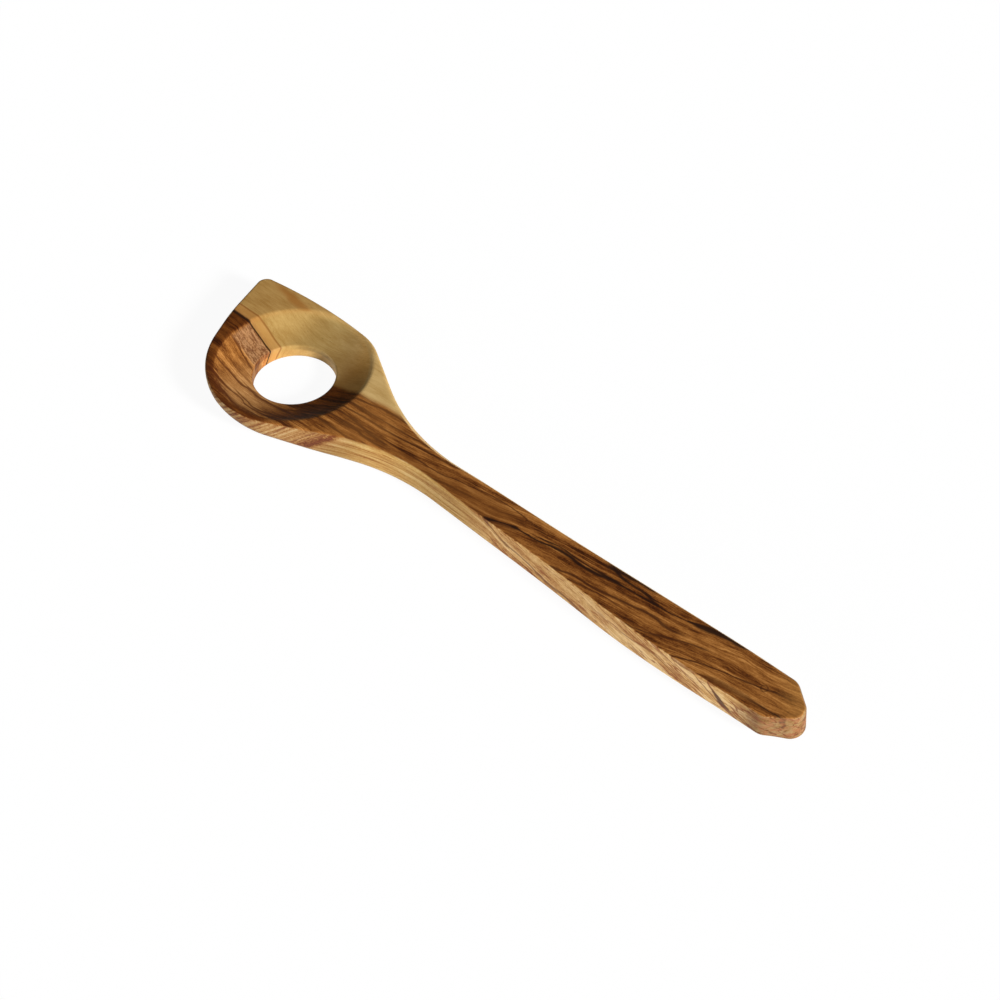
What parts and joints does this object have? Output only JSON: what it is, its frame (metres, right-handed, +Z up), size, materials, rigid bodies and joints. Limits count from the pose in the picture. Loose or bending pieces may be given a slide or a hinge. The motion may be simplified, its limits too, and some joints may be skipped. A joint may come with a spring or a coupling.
{
  "type": "risotto spoon",
  "caption": "Flat wooden risotto spoon with a shallow round dish pierced by a large hole, one pointed corner, a slim neck and a long grip.",
  "frame": {"origin": "on the table under the middle of the spoon's outline, as the spoon lies on its back", "axes": "+X along the spoon toward the handle's end, +Y toward the side of the head's pointed corner, +Z up, out of the dish"},
  "size_m": [0.2998, 0.066, 0.0148],
  "materials": {
    "olive_wood": "oiled olive wood, hand sanded, with a satin sheen"
  },
  "bodies": {
    "root": {"spoon": "olive_wood"}
  },
  "joints": []
}
